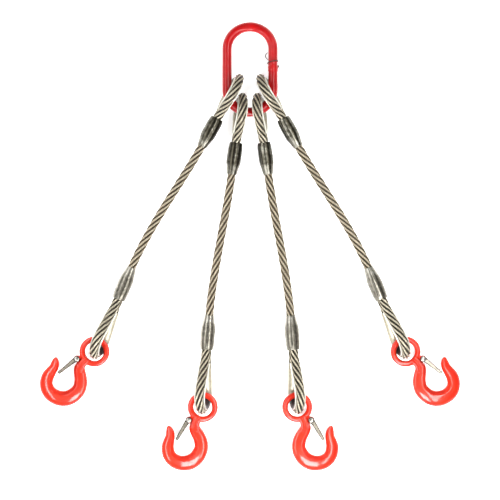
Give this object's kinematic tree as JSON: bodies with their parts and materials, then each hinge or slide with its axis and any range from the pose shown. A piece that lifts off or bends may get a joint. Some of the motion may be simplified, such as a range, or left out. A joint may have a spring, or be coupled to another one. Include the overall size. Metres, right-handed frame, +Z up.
{
  "type": "wire rope sling",
  "caption": "Lifting sling of steel wire rope legs with thimble eyes and pressed sleeves, an oblong master link at one end, and eye hooks with sprung latches at the other.",
  "frame": {"origin": "centre of the sling's footprint on the floor it lies on", "axes": "+X to the right, +Y along the sling from the hooks towards the master link, +Z up from the floor"},
  "size_m": [0.7838, 0.8361, 0.0765],
  "materials": {
    "link_paint": "deep red gloss paint",
    "hook_paint": "orange-red gloss paint",
    "rope_steel": "bright drawn wire with light grease",
    "ferrule_steel": "dark oiled steel",
    "thimble_zinc": "zinc plated",
    "latch_zinc": "zinc plated",
    "pin_zinc": "zinc plated",
    "spring_steel": "plain spring wire",
    "tie_wire": "black annealed wire"
  },
  "bodies": {
    "link": {"master_link": "link_paint", "tie_wire": "tie_wire"},
    "left_outer_upper_leg": {"left_outer_upper_ferrule": "ferrule_steel", "left_outer_upper_thimble": "thimble_zinc", "left_outer_rope_upper_eye": "rope_steel", "left_outer_rope_span": "rope_steel"},
    "left_outer_lower_leg": {"left_outer_lower_ferrule": "ferrule_steel", "left_outer_lower_thimble": "thimble_zinc", "left_outer_rope_lower_eye": "rope_steel"},
    "left_outer_hook": {"left_outer_hook": "hook_paint", "left_outer_latch_pin": "pin_zinc", "left_outer_latch_spring": "spring_steel"},
    "left_outer_latch": {"left_outer_latch": "latch_zinc"},
    "left_inner_upper_leg": {"left_inner_upper_ferrule": "ferrule_steel", "left_inner_upper_thimble": "thimble_zinc", "left_inner_rope_upper_eye": "rope_steel", "left_inner_rope_span": "rope_steel"},
    "left_inner_lower_leg": {"left_inner_lower_ferrule": "ferrule_steel", "left_inner_lower_thimble": "thimble_zinc", "left_inner_rope_lower_eye": "rope_steel"},
    "left_inner_hook": {"left_inner_hook": "hook_paint", "left_inner_latch_pin": "pin_zinc", "left_inner_latch_spring": "spring_steel"},
    "left_inner_latch": {"left_inner_latch": "latch_zinc"},
    "right_outer_upper_leg": {"right_outer_upper_ferrule": "ferrule_steel", "right_outer_upper_thimble": "thimble_zinc", "right_outer_rope_upper_eye": "rope_steel", "right_outer_rope_span": "rope_steel"},
    "right_outer_lower_leg": {"right_outer_lower_ferrule": "ferrule_steel", "right_outer_lower_thimble": "thimble_zinc", "right_outer_rope_lower_eye": "rope_steel"},
    "right_outer_hook": {"right_outer_hook": "hook_paint", "right_outer_latch_pin": "pin_zinc", "right_outer_latch_spring": "spring_steel"},
    "right_outer_latch": {"right_outer_latch": "latch_zinc"},
    "right_inner_upper_leg": {"right_inner_upper_ferrule": "ferrule_steel", "right_inner_upper_thimble": "thimble_zinc", "right_inner_rope_upper_eye": "rope_steel", "right_inner_rope_span": "rope_steel"},
    "right_inner_lower_leg": {"right_inner_lower_ferrule": "ferrule_steel", "right_inner_lower_thimble": "thimble_zinc", "right_inner_rope_lower_eye": "rope_steel"},
    "right_inner_hook": {"right_inner_hook": "hook_paint", "right_inner_latch_pin": "pin_zinc", "right_inner_latch_spring": "spring_steel"},
    "right_inner_latch": {"right_inner_latch": "latch_zinc"}
  },
  "joints": [
    {"name": "left_outer_leg_swing", "type": "hinge", "parent": "link", "child": "left_outer_upper_leg", "pos_m": [-0.04208, 0.2836, 0.03561], "axis": [-0.7479, 0.644, -0.1611], "range_deg": [-5, 55]},
    {"name": "left_outer_rope_bend", "type": "hinge", "parent": "left_outer_upper_leg", "child": "left_outer_lower_leg", "pos_m": [-0.158, 0.07461, 0.03847], "axis": [0, 0, 1], "range_deg": [-12, 12], "stiffness_Nm_per_rad": 40, "deforming": ["left_outer_rope_span"]},
    {"name": "left_outer_hook_swing", "type": "hinge", "parent": "left_outer_lower_leg", "child": "left_outer_hook", "pos_m": [-0.28958, -0.19623, 0.0244], "axis": [-0.0715, -0.0715, 0.9949], "range_deg": [-50, 50]},
    {"name": "left_outer_latch_open", "type": "hinge", "parent": "left_outer_hook", "child": "left_outer_latch", "pos_m": [-0.32213, -0.20927, 0.02113], "axis": [-0.0715, -0.0715, 0.9949], "range_deg": [0, 30], "stiffness_Nm_per_rad": 0.08, "springref_deg": -17.19, "deforming": ["left_outer_latch_spring"]},
    {"name": "left_inner_leg_swing", "type": "hinge", "parent": "link", "child": "left_inner_upper_leg", "pos_m": [-0.01775, 0.25313, 0.04209], "axis": [-0.9753, 0.1371, -0.1733], "range_deg": [-12, 50]},
    {"name": "left_inner_rope_bend", "type": "hinge", "parent": "left_inner_upper_leg", "child": "left_inner_lower_leg", "pos_m": [-0.05663, 0.00169, 0.03847], "axis": [0, 0, 1], "range_deg": [-12, 12], "stiffness_Nm_per_rad": 40, "deforming": ["left_inner_rope_span"]},
    {"name": "left_inner_hook_swing", "type": "hinge", "parent": "left_inner_lower_leg", "child": "left_inner_hook", "pos_m": [-0.08792, -0.29955, 0.0244], "axis": [-0.0419, -0.092, 0.9949], "range_deg": [-50, 50]},
    {"name": "left_inner_latch_open", "type": "hinge", "parent": "left_inner_hook", "child": "left_inner_latch", "pos_m": [-0.11384, -0.32316, 0.02113], "axis": [-0.0419, -0.092, 0.9949], "range_deg": [0, 30], "stiffness_Nm_per_rad": 0.08, "springref_deg": -17.19, "deforming": ["left_inner_latch_spring"]},
    {"name": "right_outer_leg_swing", "type": "hinge", "parent": "link", "child": "right_outer_upper_leg", "pos_m": [0.04208, 0.2836, 0.03561], "axis": [-0.7479, -0.644, 0.1611], "range_deg": [-5, 55]},
    {"name": "right_outer_rope_bend", "type": "hinge", "parent": "right_outer_upper_leg", "child": "right_outer_lower_leg", "pos_m": [0.158, 0.07461, 0.03847], "axis": [0, 0, 1], "range_deg": [-12, 12], "stiffness_Nm_per_rad": 40, "deforming": ["right_outer_rope_span"]},
    {"name": "right_outer_hook_swing", "type": "hinge", "parent": "right_outer_lower_leg", "child": "right_outer_hook", "pos_m": [0.28958, -0.19623, 0.0244], "axis": [0.0715, -0.0715, 0.9949], "range_deg": [-50, 50]},
    {"name": "right_outer_latch_open", "type": "hinge", "parent": "right_outer_hook", "child": "right_outer_latch", "pos_m": [0.32213, -0.20927, 0.02113], "axis": [-0.0715, 0.0715, -0.9949], "range_deg": [0, 30], "stiffness_Nm_per_rad": 0.08, "springref_deg": -17.19, "deforming": ["right_outer_latch_spring"]},
    {"name": "right_inner_leg_swing", "type": "hinge", "parent": "link", "child": "right_inner_upper_leg", "pos_m": [0.01775, 0.25313, 0.04209], "axis": [-0.9753, -0.1371, 0.1733], "range_deg": [-12, 50]},
    {"name": "right_inner_rope_bend", "type": "hinge", "parent": "right_inner_upper_leg", "child": "right_inner_lower_leg", "pos_m": [0.05663, 0.00169, 0.03847], "axis": [0, 0, 1], "range_deg": [-12, 12], "stiffness_Nm_per_rad": 40, "deforming": ["right_inner_rope_span"]},
    {"name": "right_inner_hook_swing", "type": "hinge", "parent": "right_inner_lower_leg", "child": "right_inner_hook", "pos_m": [0.08792, -0.29955, 0.0244], "axis": [0.0419, -0.092, 0.9949], "range_deg": [-50, 50]},
    {"name": "right_inner_latch_open", "type": "hinge", "parent": "right_inner_hook", "child": "right_inner_latch", "pos_m": [0.11384, -0.32316, 0.02113], "axis": [-0.0419, 0.092, -0.9949], "range_deg": [0, 30], "stiffness_Nm_per_rad": 0.08, "springref_deg": -17.19, "deforming": ["right_inner_latch_spring"]}
  ]
}
